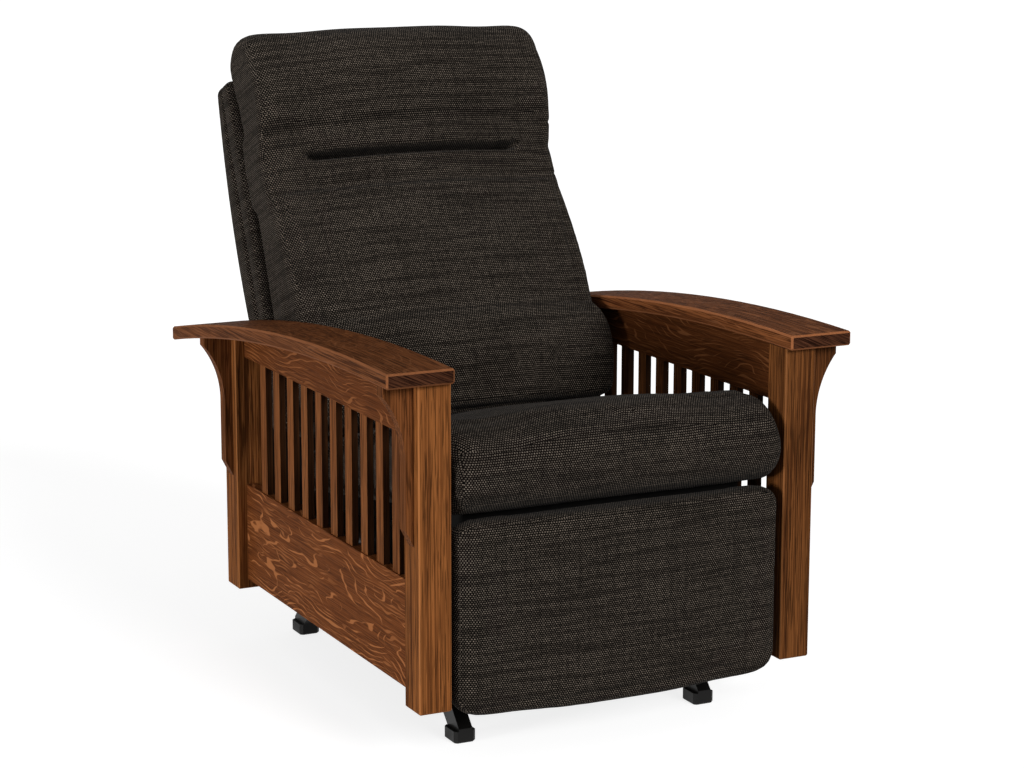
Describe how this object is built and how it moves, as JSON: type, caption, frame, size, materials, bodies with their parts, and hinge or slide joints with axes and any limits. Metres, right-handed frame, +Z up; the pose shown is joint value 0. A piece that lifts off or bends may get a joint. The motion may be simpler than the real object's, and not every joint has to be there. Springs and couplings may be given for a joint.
{
  "type": "rocker recliner chair",
  "caption": "Rocker recliner with slatted wooden sides, bowed wooden arms on corbels, tweed seat, back and leg rest, on a steel rocking base.",
  "frame": {"origin": "On the floor, under the centre of the chair at rest.", "axes": "+Z is up, the chair faces -Y, +X is to the left of someone sitting in it."},
  "size_m": [0.82, 1.0603, 1.0835],
  "materials": {
    "oak": "quarter-sawn oak, medium brown stain, satin",
    "inner_wood": "plain hardwood, unfinished",
    "tweed": "charcoal brown tweed with light flecks",
    "webbing": "elastic webbing",
    "glides": "moulded, matte",
    "spring_steel": "oiled spring wire",
    "fastener_steel": "zinc plated",
    "black_steel": "black semi-gloss paint"
  },
  "bodies": {
    "base": {"base_rail_right": "black_steel", "base_rail_left": "black_steel", "base_cross_front": "black_steel", "base_cross_rear": "black_steel", "glide_pads": "glides", "rocker_springs_front": "spring_steel", "rocker_springs_rear": "spring_steel"},
    "rocker": {"post_front_right": "oak", "post_front_left": "oak", "post_rear_right": "oak", "post_rear_left": "oak", "rail_bottom_right": "oak", "rail_bottom_left": "oak", "rail_top_right": "oak", "rail_top_left": "oak", "slats_right": "oak", "slats_left": "oak", "corbel_front_right": "oak", "corbel_front_left": "oak", "corbel_rear_right": "oak", "corbel_rear_left": "oak", "arm_right": "oak", "arm_left": "oak", "stretcher_rear": "inner_wood", "mount_cleats": "inner_wood", "mount_plates": "black_steel", "frame_bolts": "fastener_steel", "cross_tube_front": "black_steel", "cross_tube_rear": "black_steel", "rocker_cams": "black_steel", "lift_pins": "fastener_steel"},
    "rear_links": {"lift_links_rear": "black_steel"},
    "front_links": {"lift_links_front": "black_steel"},
    "seat": {"seat_plate_right": "black_steel", "seat_plate_left": "black_steel", "seat_rail_right": "inner_wood", "seat_rail_left": "inner_wood", "seat_rail_front": "inner_wood", "seat_rail_rear": "inner_wood", "seat_webbing": "webbing", "seat_pins": "fastener_steel", "seat_cushion": "tweed"},
    "back": {"back_stile_right": "inner_wood", "back_stile_left": "inner_wood", "back_rail_low": "inner_wood", "back_rail_middle": "inner_wood", "back_rail_top": "inner_wood", "back_brackets": "black_steel", "outside_back": "tweed", "back_pillow": "tweed"},
    "leg_arms": {"torque_tube": "black_steel", "leg_arms": "black_steel"},
    "leg_struts": {"leg_struts": "black_steel"},
    "leg_braces": {"leg_braces": "black_steel"},
    "ottoman_stays": {"ottoman_stays": "black_steel"},
    "ottoman": {"ottoman_brackets": "black_steel", "ottoman_board": "inner_wood", "ottoman_pad": "tweed"}
  },
  "joints": [
    {"name": "rock", "type": "hinge", "parent": "base", "child": "rocker", "pos_m": [0, -0.06586, 0.0937], "axis": [-1, 0, 0], "range_deg": [-7, 7], "stiffness_Nm_per_rad": 2400, "springref_deg": -1.46, "deforming": ["rocker_springs_front", "rocker_springs_rear"]},
    {"name": "recline", "type": "hinge", "parent": "rocker", "child": "rear_links", "pos_m": [0, 0.10414, 0.165], "axis": [1, 0, 0], "range_deg": [0, 25]},
    {"name": "seat_carry", "type": "hinge", "parent": "rear_links", "child": "seat", "pos_m": [0, 0.14217, 0.24657], "axis": [-1, 0, 0], "range_deg": [0, 25.1]},
    {"name": "front_lift", "type": "hinge", "parent": "rocker", "child": "front_links", "pos_m": [0, -0.10586, 0.185], "axis": [1, 0, 0], "range_deg": [0, 25.1]},
    {"name": "back_recline", "type": "hinge", "parent": "seat", "child": "back", "pos_m": [0, 0.2061, 0.37198], "axis": [-1, 0, 0], "range_deg": [0, 30.1]},
    {"name": "leg_rest", "type": "hinge", "parent": "seat", "child": "leg_arms", "pos_m": [0, -0.32086, 0.29], "axis": [-1, 0, 0], "range_deg": [0, 79.4]},
    {"name": "strut_swing", "type": "hinge", "parent": "leg_arms", "child": "leg_struts", "pos_m": [0, -0.38186, 0.12598], "axis": [1, 0, 0], "range_deg": [0, 138.06]},
    {"name": "ottoman_tilt", "type": "hinge", "parent": "leg_struts", "child": "ottoman", "pos_m": [0, -0.43564, 0.30299], "axis": [-1, 0, 0], "range_deg": [0, 148.65]},
    {"name": "brace_swing", "type": "hinge", "parent": "seat", "child": "leg_braces", "pos_m": [0, -0.24126, 0.3215], "axis": [-1, 0, 0], "range_deg": [0, 65.65]},
    {"name": "stay_swing", "type": "hinge", "parent": "leg_arms", "child": "ottoman_stays", "pos_m": [0, -0.33139, 0.11792], "axis": [1, 0, 0], "range_deg": [0, 135.46]}
  ],
  "couplings": [
    {"joint": "seat_carry", "follows": "recline", "ratio": 1},
    {"joint": "front_lift", "follows": "recline", "ratio": 1},
    {"joint": "back_recline", "follows": "recline", "ratio": 1.2},
    {"joint": "strut_swing", "follows": "leg_rest", "ratio": 1.738},
    {"joint": "ottoman_tilt", "follows": "leg_rest", "ratio": 1.8715},
    {"joint": "brace_swing", "follows": "leg_rest", "ratio": 0.8262},
    {"joint": "stay_swing", "follows": "leg_rest", "ratio": 1.7053}
  ]
}
